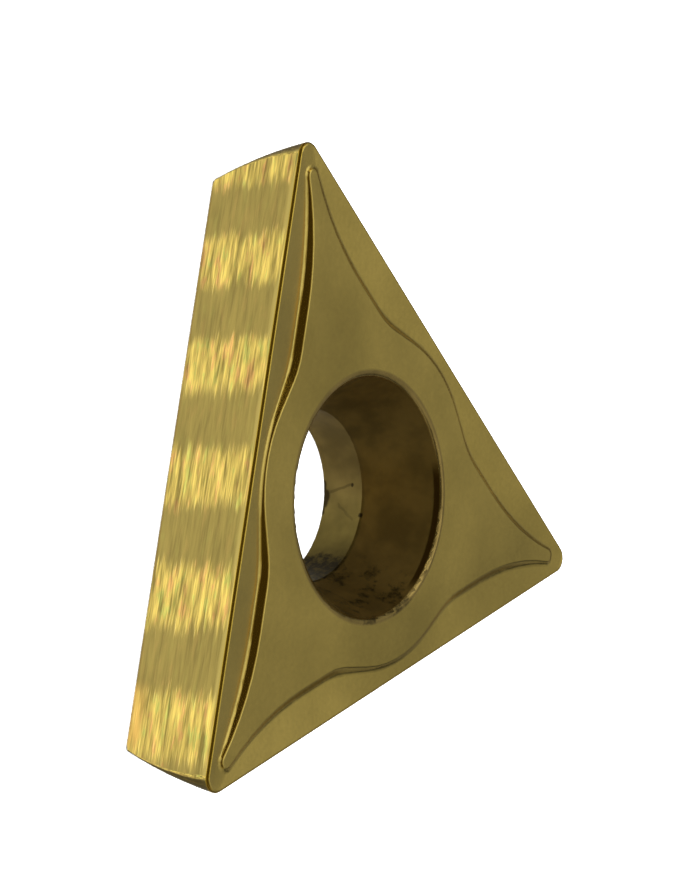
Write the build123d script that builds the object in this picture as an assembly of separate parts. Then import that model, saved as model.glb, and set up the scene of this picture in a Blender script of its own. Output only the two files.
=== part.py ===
from build123d import *
import os
from math import atan2, cos, degrees, radians, sin, tan

# Countersunk triangular turning insert: one pressed, sintered and ground piece of cemented carbide.
# Millimetres. The origin is on the screw hole's axis at the seat face, +Z points to the rake side.
# The corners point to 90, 210 and 330 degrees, so one cutting edge runs along X on the -Y side.

NODE = "insert"

# Outline and flanks
inscribed_d = 9.525          # circle inscribed in the three cutting edges
thickness = 3.18             # seat face to cutting edge
nose_r = 0.4                 # corner radius at the cutting edge
clearance_deg = 11.0         # flank's lean in towards the seat, the same round the nose
corner_r = 0.04              # corner radius left at the seat
nose_spans = 6               # ruled spans that the narrowing of the nose is built from
corner_lop = 0.25            # tumbled rounding that takes the sharp tips off the seat's corners
lop_gap = 0.02               # that rounding's cone lies this far outside the noses
seat_round = 0.05            # rounding of the seat face's edge

# Chip breaker: a groove along each edge, in front of a wavy wall up to the central plateau
rake_deg = 9.0               # fall of the groove floor, inwards from the cutting edge
floor_run = 1.48             # cutting edge to where the groove floor ends under the plateau
hone_r = 0.07                # rounding of the cutting edge
valley_r = 0.25              # blend where two groove floors meet behind a nose
bay_depth = 1.18             # cutting edge to the wall in a bay
bay_reach = 4.0              # middle of the edge to where a bay's wall starts to close
bay_bend_r = 2.2             # bend between a bay's straight wall and the crest's side
crest_gap = 0.48             # cutting edge to the crest, the wall's nearest point
crest_r = 3.6                # tip of the crest
crest_flare_deg = 21.0       # crest's side against the cutting edge
finger_gap = 0.7             # nose's tip to the tip of the plateau's finger behind it
finger_r = 0.16              # rounding of the finger's tip
wall_draft_deg = 53.0        # wall's lean, for the press to leave
wall_foot_r = 0.14           # blend between the groove floor and the wall
wall_top_r = 0.1             # rounding between the wall and the plateau

# Screw hole
bore_d = 4.4                 # straight hole
bore_land = 1.25             # length of the straight hole above the seat
sink_mouth_d = 6.12          # countersink where it would meet the plateau sharp
rim_round = 0.12             # rounding of the countersink's mouth
bore_break = 0.02            # chamfer of the bore at the seat

edge_inradius = inscribed_d / 2
clearance_slope = tan(radians(clearance_deg))
rake_slope = tan(radians(rake_deg))


def rounded_triangle(inradius, radius, z):
    """Level triangle face whose three corners, at 90, 210 and 330 degrees, are rounded."""
    sharp = RegularPolygon(inradius, 3, major_radius=False, rotation=90)
    return Pos(0, 0, z) * fillet(sharp.vertices(), radius)


def blank():
    """Ground triangle: the flanks are flat and the nose narrows, ever more slowly, towards the seat."""
    sections = []
    for level in range(nose_spans + 1):
        height = level / nose_spans
        radius = corner_r + (nose_r - corner_r) * height**2
        drop = (1 - height) * thickness
        sections.append(rounded_triangle(edge_inradius - drop * clearance_slope, radius, thickness - drop))
    return loft(sections, ruled=True)


def corner_limit():
    """Cone just outside the three noses, rounded at the bottom, where it cuts their tips off."""
    seat_tip = 2 * (edge_inradius - thickness * clearance_slope) - corner_r + lop_gap
    edge_tip = 2 * edge_inradius
    cone = Cone(seat_tip, edge_tip, thickness, align=(Align.CENTER, Align.CENTER, Align.MIN))
    return fillet(cone.edges().sort_by(Axis.Z)[0], corner_lop)


def groove_basin():
    """Shallow inverted pyramid whose sides are the groove floors, out to the cutting edge."""
    nose_run = nose_r - valley_r
    sections = [
        rounded_triangle(edge_inradius, nose_r, thickness),
        rounded_triangle(edge_inradius - nose_run, valley_r, thickness - nose_run * rake_slope),
        rounded_triangle(edge_inradius - floor_run, valley_r, thickness - floor_run * rake_slope),
    ]
    return loft(sections, ruled=True)


def half_wall():
    """Wall's line from the crest in the middle of the -Y edge to the finger's tip at 330 degrees."""
    edge_y = -edge_inradius
    wall_y = edge_y + bay_depth
    flare = radians(crest_flare_deg)

    crest_centre = Vector(0, edge_y + crest_gap + crest_r)
    crest_end = crest_centre + Vector(sin(flare), -cos(flare)) * crest_r
    side_rise = bay_depth - crest_gap - (crest_r + bay_bend_r) * (1 - cos(flare))
    bend_x = (crest_r + bay_bend_r) * sin(flare) + side_rise / tan(flare)
    bend_centre = Vector(bend_x, wall_y - bay_bend_r)
    bend_start = bend_centre + Vector(-sin(flare), cos(flare)) * bay_bend_r

    tip_reach = 2 * edge_inradius - nose_r - finger_gap - finger_r
    tip_centre = Vector(tip_reach * cos(radians(-30)), tip_reach * sin(radians(-30)))
    across, down = tip_centre.X - bay_reach, wall_y - tip_centre.Y
    close_r = (across**2 + down**2 - finger_r**2) / (2 * (finger_r + down))
    close_centre = Vector(bay_reach, wall_y - close_r)
    towards_tip = degrees(atan2(tip_centre.Y - close_centre.Y, tip_centre.X - close_centre.X))

    return [
        CenterArc(crest_centre, crest_r, -90, crest_flare_deg),
        Line(crest_end, bend_start),
        CenterArc(bend_centre, bay_bend_r, 90 + crest_flare_deg, -crest_flare_deg),
        Line((bend_x, wall_y), (bay_reach, wall_y)),
        CenterArc(close_centre, close_r, 90, towards_tip - 90),
        CenterArc(tip_centre, finger_r, towards_tip - 180, 150 - towards_tip),
    ]


def plateau():
    """Raised middle of the rake side, with drafted walls down to the lowest of the groove floor."""
    side = [edge for half in half_wall() for edge in (half, half.mirror(Plane.YZ))]
    outline = make_face([Rot(0, 0, turn) * edge for turn in (0, 120, 240) for edge in side])
    return extrude(Pos(0, 0, thickness) * outline, -floor_run * rake_slope, taper=-wall_draft_deg)


def screw_hole():
    """Straight bore at the seat and a countersink that opens to the plateau."""
    from_below = (Align.CENTER, Align.CENTER, Align.MIN)
    bore = Cylinder(bore_d / 2, thickness, align=from_below)
    sink = Cone(bore_d / 2, sink_mouth_d / 2, thickness - bore_land, align=from_below)
    return bore + Pos(0, 0, bore_land) * sink


def insert_solid():
    """The whole insert, blended in the order that its surfaces are pressed, ground and honed."""
    ground = blank() & corner_limit()
    seat_edges = ground.faces().sort_by(Axis.Z)[0].edges().filter_by(GeomType.LINE)
    body = fillet(seat_edges, seat_round)

    body -= groove_basin()
    cutting_edge = body.edges().filter_by(lambda edge: edge.center().Z > thickness - hone_r)
    honed = fillet(cutting_edge, hone_r)

    walls = plateau()
    pressed = honed + walls
    body = fillet(new_edges(honed, walls, combined=pressed), wall_foot_r)
    body = fillet(body.faces().sort_by(Axis.Z)[-1].edges(), wall_top_r)

    body -= screw_hole()
    mouth = body.edges().filter_by(lambda edge: edge.is_closed).sort_by(Axis.Z)[-1]
    body = fillet(mouth, rim_round)
    seat_rim = body.edges().filter_by(lambda edge: edge.is_closed).sort_by(Axis.Z)[0]
    return chamfer(seat_rim, bore_break)


if __name__ == "__main__":
    os.makedirs("parts", exist_ok=True)
    export_step(insert_solid(), f"parts/{NODE}.step")
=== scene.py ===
from math import cos, pi, radians, sin

import bpy
from mathutils import Matrix, Vector


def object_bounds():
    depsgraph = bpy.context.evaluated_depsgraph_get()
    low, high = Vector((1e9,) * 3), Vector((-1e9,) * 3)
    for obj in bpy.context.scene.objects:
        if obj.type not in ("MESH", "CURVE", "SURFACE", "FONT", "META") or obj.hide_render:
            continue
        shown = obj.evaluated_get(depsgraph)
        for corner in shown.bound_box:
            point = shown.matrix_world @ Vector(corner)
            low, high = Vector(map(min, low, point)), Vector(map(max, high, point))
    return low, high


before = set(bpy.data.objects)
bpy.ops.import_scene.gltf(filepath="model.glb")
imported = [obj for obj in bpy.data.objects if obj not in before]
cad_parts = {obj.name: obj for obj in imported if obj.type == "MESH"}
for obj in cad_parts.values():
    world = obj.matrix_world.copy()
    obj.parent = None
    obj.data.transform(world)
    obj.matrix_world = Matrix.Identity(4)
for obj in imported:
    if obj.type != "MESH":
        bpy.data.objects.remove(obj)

# Metres, in the row's frame: the cutting edge seen best runs along X on the -Y side, the seat lies on z = 0.
# The material measures in millimetres, from the hole's axis and from the seat.
MM = 0.001
cad_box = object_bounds()
scene = bpy.context.scene
scene.view_settings.view_transform = "Standard"

TOP = cad_box[1][2] / MM          # height of the plateau
EDGE_HEADINGS = (30, 150, 270)    # degrees that the three cutting edges face
HONE_START = 4.66                 # reach towards an edge where the hone's colour sets in
HONE_END = 4.72
BORE_R = 2.2
SINK_R = 3.06                     # countersink's mouth
RIM_R = 3.20                      # outside of that mouth's rounding

# Rake side
RAKE_ROUGHNESS = 0.24
DIMPLE_DEPTH = 0.0016
GOLD = (0.80, 0.60, 0.15, 1)
# painted shade: darker brown base colour for the chip breaker's wall where it faces -Y
SHADED_WALL_BROWN = (0.60, 0.37, 0.04, 1)
HONE_AMBER = (0.95, 0.64, 0.07, 1)
SHADED_STRETCHES = (                # painted shade: centre, reach and how much darker
    ((-2.9, -2.5, 0), 2.4, 0.20),
    ((3.4, 2.0, 0), 3.0, 0.17),
    ((1.3, 6.7, 0), 3.2, 0.18),
)

# Flanks
FLANK_ROUGHER = 0.06
GROOVE_DEPTH = 0.0080
# The flanks' soft bands are painted reflections in the base colour; these set their spacing, shift, widening
# and raggedness.
BANDS_PER_MM = 0.3527
BAND_SHIFT = -0.139
BAND_WIDENING = -0.0037
BAND_RAGGEDNESS = 0.42
# Flank base colours: darker gold between the bands, partly the ground finish and partly painted shade;
# brighter gold in the bands, a painted reflection.
GOLD_BETWEEN_REFLECTIONS = (0.350, 0.266, 0.065, 1)
REFLECTION_BAND_GOLD = (0.61, 0.455, 0.10, 1)
ORANGE_STREAK = (0.66, 0.36, 0.11, 1)
GREEN_STREAK = (0.44, 0.47, 0.10, 1)
LIP = (0.66, 0.52, 0.14, 1)
SEAT_HEM = (0.20, 0.12, 0.03, 1)
HEAT_TINT = (0.88, 0.52, 0.12, 1)
# painted shade on the nose cones
NOSE_SHADE = (0.20, 0.145, 0.05, 1)
HEAT_ALONG = 6.3                  # middle of the heat tint, along the -Y edge

# Hole
HOLE_ROUGHER = 0.20
# painted shade: the countersink's gold is darker than the rake side's; the bore's gold is painted lit and
# dim
SHADED_SINK_GOLD = (0.40, 0.285, 0.085, 1)
BORE_LIT = (0.37, 0.265, 0.085, 1)
BORE_DIM = (0.27, 0.205, 0.054, 1)
SOOT = (0.040, 0.030, 0.012, 1)
MARK_DIRT = (0.03, 0.02, 0.008, 1)
# darker band on the countersink's rim, towards RIM_HEADING
RIM_DARKER = (0.09, 0.045, 0.005, 1)
SOOT_AND_SHADE_HEADING = 28                 # degrees; soot, and the bore's painted shade, lie towards it
RIM_HEADING = 84
MARKS = (                         # degrees and height of both ends, width, strength
    (102, 0.20, 108, 0.93, 0.05, 0.45),    # scratch
    (107, 0.92, 108, 0.95, 0.06, 1.0),     # pit at its upper end
    (87, 1.24, 87, 1.26, 0.08, 1.0),       # pit where the countersink starts
    (88, 0.0, 108, 0.0, 0.12, 1.0),        # dirt along the seat's edge
    (94, 0.04, 101, 0.10, 0.15, 1.0),      # dirt just above it
    (94, 0.49, 84, 1.02, 0.05, 0.30),      # faint scratch
)

# Camera and light
CAMERA_LENS = 122.92
CAMERA_PLACE = Vector((10.1675, -60.1747, 48.3470)) * MM
CAMERA_TARGET = Vector((-1.4882, 0.8194, 1.5878)) * MM
CAMERA_ROLL = 91.6456
FLANK_SIDE = -0.14                # x of the direction that the -Y flank mirrors to the camera
LAMP_TOWARD = Vector((-0.62, 0.06, 0.78)).normalized()
LAMP_STRENGTH = 3.0
LAMP_RADIUS = 4                   # degrees
LAMP_FADE = 7
DUSK = (0.080, 0.064, 0.032)
FILL_TOWARD = Vector((0.05, -0.25, 1.0)).normalized()
FILL_DISTANCE = 0.8
FILL_SIZE = 1.1
FILL_WATTS = 26.0
FLOOR_HALF = 1.5
FLOOR_WHITE = (0.88, 0.88, 0.87, 1)


def heading(degrees):
    """Level unit vector at an angle from +X."""
    return Vector((cos(radians(degrees)), sin(radians(degrees)), 0))


class Nodes:
    """Short names for the nodes that a procedural material or world is made of."""

    def __init__(self, owner, shader):
        owner.use_nodes = True
        self.tree = owner.node_tree
        self.shader = self.tree.nodes[shader]

    def link(self, value, socket):
        if isinstance(value, bpy.types.NodeSocket):
            self.tree.links.new(value, socket)
        else:
            socket.default_value = value

    def new(self, kind, inputs=(), **settings):
        node = self.tree.nodes.new(kind)
        for key, value in settings.items():
            setattr(node, key, value)
        for key, value in dict(inputs).items():
            self.link(value, node.inputs[key])
        return node

    def math(self, operation, a, b=0.0, c=0.0, clamp=False):
        inputs = {0: a, 1: b, 2: c}
        return self.new("ShaderNodeMath", inputs, operation=operation, use_clamp=clamp).outputs[0]

    def times(self, first, *others):
        for other in others:
            first = self.math("MULTIPLY", first, other)
        return first

    def plus(self, first, *others):
        for other in others:
            first = self.math("ADD", first, other)
        return first

    def inverse(self, value):
        return self.math("SUBTRACT", 1.0, value)

    def magnitude(self, value):
        return self.math("ABSOLUTE", value)

    def vector(self, operation, a, b=(0, 0, 0)):
        node = self.new("ShaderNodeVectorMath", {0: a, 1: b}, operation=operation)
        return node.outputs["Value" if operation in ("LENGTH", "DOT_PRODUCT") else "Vector"]

    def dot(self, a, b):
        return self.vector("DOT_PRODUCT", a, b)

    def split(self, vector):
        return self.new("ShaderNodeSeparateXYZ", {0: vector}).outputs

    def join(self, x, y, z=0.0):
        return self.new("ShaderNodeCombineXYZ", {0: x, 1: y, 2: z}).outputs[0]

    def grey(self, value):
        return self.join(value, value, value)

    def ramp(self, value, start, end, at_start=0.0, at_end=1.0, smooth=True):
        inputs = {"Value": value, "From Min": start, "From Max": end, "To Min": at_start, "To Max": at_end}
        kind = "SMOOTHSTEP" if smooth else "LINEAR"
        return self.new("ShaderNodeMapRange", inputs, interpolation_type=kind, clamp=True).outputs[0]

    def mix(self, amount, a, b, blend="MIX"):
        inputs = {0: amount, 6: a, 7: b}
        return self.new("ShaderNodeMix", inputs, data_type="RGBA", blend_type=blend).outputs[2]

    def darken(self, colour, shade):
        return self.mix(1.0, colour, self.grey(shade), "MULTIPLY")

    def noise(self, where, scale, detail=2.0, roughness=0.5):
        inputs = {"Vector": where, "Scale": scale, "Detail": detail, "Roughness": roughness}
        return self.new("ShaderNodeTexNoise", inputs).outputs[0]

    def bump(self, height, distance, normal=None):
        inputs = {"Height": height, "Distance": distance, "Strength": 1.0}
        if normal is not None:
            inputs["Normal"] = normal
        return self.new("ShaderNodeBump", inputs).outputs[0]


def furthest(n, where):
    """Largest reach of a vector towards one of the three cutting edges."""
    a, b, c = [n.dot(where, heading(edge)) for edge in EDGE_HEADINGS]
    return n.math("MAXIMUM", a, n.math("MAXIMUM", b, c))


class Surface:
    """Where a point of the insert lies, in millimetres, and masks for the kinds of its surface."""

    def __init__(self, n):
        coordinates = n.new("ShaderNodeTexCoord").outputs["Object"]
        self.place = n.vector("MULTIPLY", coordinates, (1 / MM, 1 / MM, 1 / MM))
        self.x, self.y, self.height = n.split(self.place)
        self.level = n.join(self.x, self.y)
        self.from_axis = n.vector("LENGTH", self.level)

        # Along the edge that a flank point lies under, and a number that tells the flanks apart: -23 at -Y.
        facing = n.new("ShaderNodeNewGeometry").outputs["Normal"]
        lean = n.split(facing)[2]
        outward = n.vector("NORMALIZE", n.vector("MULTIPLY", facing, (1, 1, 0)))
        self.along = n.dot(self.place, n.vector("CROSS_PRODUCT", (0, 0, 1), outward))
        self.which = n.dot(outward, (11.0, 23.0, 0))

        self.in_hole = n.ramp(self.from_axis, RIM_R + 0.04, RIM_R - 0.04)
        self.in_bore = n.ramp(self.from_axis, BORE_R + 0.04, BORE_R + 0.01)
        outside = n.inverse(self.in_hole)
        self.flank = n.times(n.ramp(lean, 0.02, -0.10), outside)
        self.rake = n.math("SUBTRACT", outside, self.flank)

        # A nose's cone faces between two flanks; the hone lies further out than all of the rake side.
        self.nose = n.times(n.ramp(furthest(n, outward), 0.985, 0.93), self.flank)
        self.hone = n.times(n.ramp(furthest(n, self.place), HONE_START, HONE_END), n.ramp(lean, -0.12, 0.05))
        # Painted shade: where the chip breaker's wall faces -Y it gets a darker brown base colour than the
        # same coating elsewhere.
        towards_front = n.ramp(n.dot(outward, (0, -1, 0)), 0.2, 0.7)
        self.shaded_front_wall = n.times(n.ramp(lean, 0.96, 0.86), self.rake, towards_front)


def ground_flank(n, at):
    """Grinding streaks along the edge, broken into soft bands of painted reflection: brighter, livelier
    streaks.
    """

    def streaks(length, width, detail=2.0, rough=0.5):
        where = n.join(n.math("DIVIDE", at.along, length), n.math("DIVIDE", at.height, width), at.which)
        return n.noise(where, 1.0, detail, rough)

    fine = streaks(0.65, 0.060)
    broad = streaks(1.3, 0.19, 1.0)
    tint = streaks(0.8, 0.30, 3.0, 0.6)
    ragged = n.math("SUBTRACT", streaks(1.7, 0.20, 3.0, 0.7), 0.5)

    # The count rises by one from band to band of painted reflection, and more slowly along the edge, so the
    # bands grow wider.
    count = n.math("MULTIPLY_ADD", at.along, BANDS_PER_MM, BAND_SHIFT)
    count = n.plus(count, n.times(at.along, at.along, BAND_WIDENING), n.times(ragged, BAND_RAGGEDNESS))
    reflection_band = n.ramp(n.math("COSINE", n.times(count, 2 * pi)), -0.40, 0.60)

    # Painted reflection: brighter base colour in the bands.
    colour = n.mix(reflection_band, GOLD_BETWEEN_REFLECTIONS, REFLECTION_BAND_GOLD)
    orange = n.times(n.ramp(tint, 0.53, 0.66), n.math("MULTIPLY_ADD", reflection_band, 0.70, 0.10))
    colour = n.mix(orange, colour, ORANGE_STREAK)
    green = n.times(n.ramp(tint, 0.45, 0.33), n.math("MULTIPLY_ADD", reflection_band, 0.55, 0.10))
    colour = n.mix(green, colour, GREEN_STREAK)

    shade = n.math("MULTIPLY_ADD", fine, 0.45, n.times(broad, 0.55))
    shade = n.ramp(shade, 0.36, 0.64, 0.52, 1.62, smooth=False)
    colour = n.darken(colour, n.math("POWER", shade, n.math("MULTIPLY_ADD", reflection_band, 0.80, 0.32)))

    lip = n.times(n.ramp(at.height, TOP - 0.28, TOP - 0.16), n.math("MULTIPLY_ADD", reflection_band, -0.35, 0.50))
    colour = n.mix(lip, colour, LIP)
    colour = n.mix(n.ramp(at.height, 0.13, 0.04, 0.0, 0.5), colour, SEAT_HEM)

    heat = n.ramp(n.magnitude(n.math("SUBTRACT", at.along, HEAT_ALONG)), 0.95, 0.45)
    heat = n.times(heat, n.ramp(at.height, 0.62, 0.30), n.ramp(broad, 0.35, 0.60, 0.45, 1.0))
    heat = n.times(heat, n.ramp(at.which, -22.0, -22.9))
    colour = n.mix(n.times(heat, 0.75), colour, HEAT_TINT)
    # Painted shade: the nose cones, turned away from the light, are darker.
    colour = n.mix(n.times(at.nose, 0.60), colour, NOSE_SHADE)

    grooves = n.times(n.plus(fine, broad), n.times(at.flank, n.math("MULTIPLY_ADD", reflection_band, 0.75, 0.25)))
    return colour, grooves


def pressed_rake(n, at):
    """Satin, with faint clouds and grain, and painted shade on a few stretches of it."""
    cloud = n.noise(at.place, 0.55, 3.0)
    grain = n.noise(at.place, 9.0, 2.0, 0.6)
    satin = n.math("MULTIPLY_ADD", cloud, 0.7, n.times(grain, 0.3))
    satin = n.ramp(satin, 0.35, 0.65, 0.90, 1.10, smooth=False)
    # Painted shade on a few stretches of the rake side.
    for centre, reach, amount in SHADED_STRETCHES:
        distance = n.vector("LENGTH", n.vector("SUBTRACT", at.level, centre))
        satin = n.times(satin, n.ramp(distance, reach, 0.3 * reach, 1.0, 1.0 - amount))

    # Painted shade: the wall that faces -Y is darker brown than the rest of the rake side.
    colour = n.mix(at.shaded_front_wall, n.darken(GOLD, satin), SHADED_WALL_BROWN)
    dimples = n.times(n.plus(grain, n.noise(at.place, 2.5, 2.0)), at.rake)
    return colour, dimples


def bore_marks(n, at):
    """Scratches and pits, drawn as short lines on the unrolled bore."""
    azimuth = n.math("ARCTAN2", at.y, at.x)
    unrolled = n.join(n.times(azimuth, BORE_R), at.height)
    unrolled = n.vector("ADD", unrolled, n.grey(n.times(n.noise(at.place, 5.0), 0.10)))

    marks = 0.0
    for from_degrees, from_height, to_degrees, to_height, width, strength in MARKS:
        # The noise above shifts every point by 0.05 on average, so the lines are shifted by as much.
        start = Vector((radians(from_degrees) * BORE_R + 0.05, from_height + 0.05, 0.05))
        end = Vector((radians(to_degrees) * BORE_R + 0.05, to_height + 0.05, 0.05))
        run = end - start
        offset = n.vector("SUBTRACT", unrolled, start)
        share = n.math("MULTIPLY", n.dot(offset, run), 1 / run.length_squared, clamp=True)
        aside = n.vector("SUBTRACT", offset, n.vector("MULTIPLY", n.grey(share), run))
        mark = n.ramp(n.vector("LENGTH", aside), width, 0.4 * width)
        marks = n.math("MAXIMUM", marks, n.times(mark, strength))
    return marks


def sooty_hole(n, at):
    """Duller than the rake side and darkened by painted shade, lit and dim by heading, with soot on the side
    towards +X, scratches, pits and a dark rim.
    """
    round_hole = n.vector("NORMALIZE", at.level)
    towards_soot_and_shade = n.dot(round_hole, heading(SOOT_AND_SHADE_HEADING))
    # Painted light and shade: the bore's gold is lit on one side and dim towards the soot's heading.
    colour = n.mix(n.ramp(towards_soot_and_shade, -0.1, 0.7), BORE_LIT, BORE_DIM)
    # Painted shade: the countersink's gold is darker than the rake side's.
    colour = n.mix(at.in_bore, SHADED_SINK_GOLD, colour)
    colour = n.darken(colour, n.ramp(n.noise(at.place, 1.1, 3.0), 0.32, 0.68, 0.80, 1.20))

    smudge = n.noise(at.place, 1.9, 4.0, 0.65)
    speckle = n.ramp(n.noise(at.place, 6.0, 3.0, 0.7), 0.30, 0.62, 0.30, 1.0)
    bore_soot = n.ramp(n.math("MULTIPLY_ADD", smudge, 0.16, towards_soot_and_shade), 0.95, 0.99)
    bore_soot = n.times(bore_soot, at.in_bore, 0.95)
    sink_soot = n.times(n.ramp(smudge, 0.48, 0.62), n.ramp(towards_soot_and_shade, 0.80, 0.97), 0.75)
    soot = n.math("MAXIMUM", bore_soot, sink_soot)
    colour = n.mix(n.times(soot, speckle), colour, SOOT)

    colour = n.mix(n.times(bore_marks(n, at), 0.85), colour, MARK_DIRT)
    # A darker band on the countersink's rim, towards RIM_HEADING.
    rim = n.times(n.ramp(at.height, TOP - 0.22, TOP - 0.17), n.ramp(at.height, TOP - 0.04, TOP - 0.07))
    rim = n.times(rim, n.ramp(n.dot(round_hole, heading(RIM_HEADING)), 0.80, 0.90))
    return n.mix(n.times(rim, 0.9), colour, RIM_DARKER)


def coated_carbide():
    """Gold-coloured coating: cross-ground flanks with painted reflection bands, satin pressed rake side with
    painted shade in places, dull sooty hole darkened by painted shade.
    """
    material = bpy.data.materials.new("coated_carbide")
    n = Nodes(material, "Principled BSDF")
    at = Surface(n)

    ground, grooves = ground_flank(n, at)
    pressed, dimples = pressed_rake(n, at)
    colour = n.mix(at.flank, pressed, ground)
    colour = n.mix(at.hone, colour, HONE_AMBER)
    colour = n.mix(at.in_hole, colour, sooty_hole(n, at))
    n.link(colour, n.shader.inputs["Base Color"])

    rough = n.math("MULTIPLY_ADD", at.flank, FLANK_ROUGHER, RAKE_ROUGHNESS)
    rough = n.math("MULTIPLY_ADD", n.ramp(at.from_axis, SINK_R, SINK_R - 0.08), HOLE_ROUGHER, rough)
    n.link(rough, n.shader.inputs["Roughness"])
    n.link(n.math("MULTIPLY_ADD", at.in_hole, -0.02, 1.0), n.shader.inputs["Metallic"])

    normal = n.bump(grooves, GROOVE_DEPTH * MM)
    normal = n.bump(dimples, DIMPLE_DEPTH * MM, normal)
    n.link(normal, n.shader.inputs["Normal"])
    return material


def wall_light(n, behind, side, deep, up):
    """Pale wall behind the insert, for the rake side to mirror."""
    wall = n.times(behind, n.ramp(side, -0.10, -0.28, 0.235, 0.30))
    wall = n.times(wall, n.ramp(side, -0.25, -0.34, 1.0, 0.72))
    wall = n.times(wall, n.ramp(up, 0.64, 0.82, 1.0, 1.6))

    dim_right = n.times(n.ramp(side, 0.02, 0.14), n.ramp(up, 0.55, 0.42))
    dim_left = n.times(n.ramp(side, -0.12, -0.20, 0.0, 0.20), n.ramp(up, 0.63, 0.70))
    wall = n.times(wall, n.inverse(dim_right), n.inverse(dim_left))

    low = n.times(n.ramp(deep, 0.55, 0.90), n.ramp(side, -0.15, 0.10))
    low = n.times(low, n.ramp(n.magnitude(up), 0.40, 0.10, 0.0, 0.20))
    return n.plus(wall, low)


def floor_light(n, side, up):
    """Light from below for the flanks: strong where the -Y flank mirrors it, weaker to both sides."""
    aside = n.magnitude(n.math("SUBTRACT", side, FLANK_SIDE))
    below = n.plus(n.ramp(up, -0.25, -0.85, 0.0, 1.0), n.ramp(up, -0.90, -1.0, 0.0, 0.8))
    below = n.times(below, n.ramp(aside, 0.30, 0.50, 1.0, 0.2))
    slope = n.times(n.ramp(up, -0.15, -0.50), n.ramp(up, -0.60, -0.45, 0.0, 0.35))
    return n.plus(below, n.times(slope, n.ramp(aside, 0.28, 0.50)))


def high_light(n, toward, side, deep, up):
    """Strip lamp above the wall, which draws the pale lines of the roundings, and a small lamp."""
    strip = n.times(n.ramp(deep, 0.10, 0.30), n.ramp(deep, 0.64, 0.50))
    strip = n.times(strip, n.ramp(up, 0.5, 0.7), n.ramp(side, -0.65, -0.50))
    strength = n.plus(n.ramp(side, 0.02, -0.09, 0.0, 0.30), n.ramp(side, -0.09, -0.35, 0.0, 0.45))
    lamp = n.ramp(n.dot(toward, LAMP_TOWARD), cos(radians(LAMP_FADE)), cos(radians(LAMP_RADIUS)))
    return n.math("MULTIPLY_ADD", lamp, LAMP_STRENGTH, n.times(strip, strength))


def add_world():
    """Soft surroundings that the metal mirrors, by the x (side), y (deep) and z (up) of the direction."""
    world = bpy.data.worlds.new("studio")
    scene.world = world
    n = Nodes(world, "Background")
    toward = n.vector("NORMALIZE", n.new("ShaderNodeTexCoord").outputs["Generated"])
    side, deep, up = n.split(toward)

    behind = n.times(n.ramp(deep, 0.10, 0.45), n.ramp(up, 0.14, 0.36))
    wall = wall_light(n, behind, side, deep, up)
    sides = n.times(n.ramp(up, 0.25, 0.50, 0.0, 0.25), n.ramp(n.magnitude(side), 0.62, 0.80))
    overhead = n.times(n.ramp(up, 0.90, 0.95, 0.0, 0.28), n.ramp(deep, -0.22, -0.06))
    glow = n.plus(wall, floor_light(n, side, up), sides, overhead, high_light(n, toward, side, deep, up))

    dusk = n.times(n.ramp(n.magnitude(up), 0.75, 0.05, 0.6, 1.0), n.inverse(behind))
    dusk = n.times(dusk, n.ramp(deep, 0.30, 0.80, 1.0, 0.45))
    dusk = n.vector("MULTIPLY", n.grey(dusk), DUSK)
    n.link(n.vector("ADD", n.grey(glow), dusk), n.shader.inputs["Color"])


def look_from(place, target, roll=0.0):
    """Matrix that puts something at place with its -Z on the target, rolled by some degrees."""
    turn = (target - place).to_track_quat("-Z", "Y").to_matrix().to_4x4()
    return Matrix.Translation(place) @ turn @ Matrix.Rotation(radians(roll), 4, "Z")


def add_object(name, data):
    thing = bpy.data.objects.new(name, data)
    scene.collection.objects.link(thing)
    return thing


def add_camera():
    """Camera at the photograph's viewing angle: above the cutting edge, turned on its side."""
    data = bpy.data.cameras.new("camera")
    data.sensor_width = 36
    data.lens = CAMERA_LENS
    data.clip_start = 0.005
    data.clip_end = 50
    camera = add_object("camera", data)
    camera.matrix_world = look_from(CAMERA_PLACE, CAMERA_TARGET, CAMERA_ROLL)
    scene.camera = camera


def add_fill():
    """Round softbox above the insert that makes the floor white and that the metal doesn't mirror."""
    data = bpy.data.lights.new("fill", "AREA")
    data.shape = "DISK"
    data.size = FILL_SIZE
    data.energy = FILL_WATTS
    light = add_object("fill", data)
    light.matrix_world = look_from(FILL_TOWARD * FILL_DISTANCE, Vector((0, 0, 0)))
    light.visible_glossy = False
    light.visible_camera = False


def add_floor():
    """Plain pale floor, which the metal doesn't mirror: the world's light from below stands in for it."""
    mesh = bpy.data.meshes.new("floor")
    corners = [(x * FLOOR_HALF, y * FLOOR_HALF, 0) for x, y in ((-1, -1), (1, -1), (1, 1), (-1, 1))]
    mesh.from_pydata(corners, [], [(0, 1, 2, 3)])
    material = bpy.data.materials.new("pale_floor")
    n = Nodes(material, "Principled BSDF")
    n.link(FLOOR_WHITE, n.shader.inputs["Base Color"])
    n.link(1.0, n.shader.inputs["Roughness"])
    n.link(0.0, n.shader.inputs["Specular IOR Level"])
    mesh.materials.append(material)
    floor = add_object("floor", mesh)
    floor.visible_glossy = False


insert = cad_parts["insert"]
insert.data.materials.clear()
insert.data.materials.append(coated_carbide())

add_floor()
add_world()
add_fill()
add_camera()
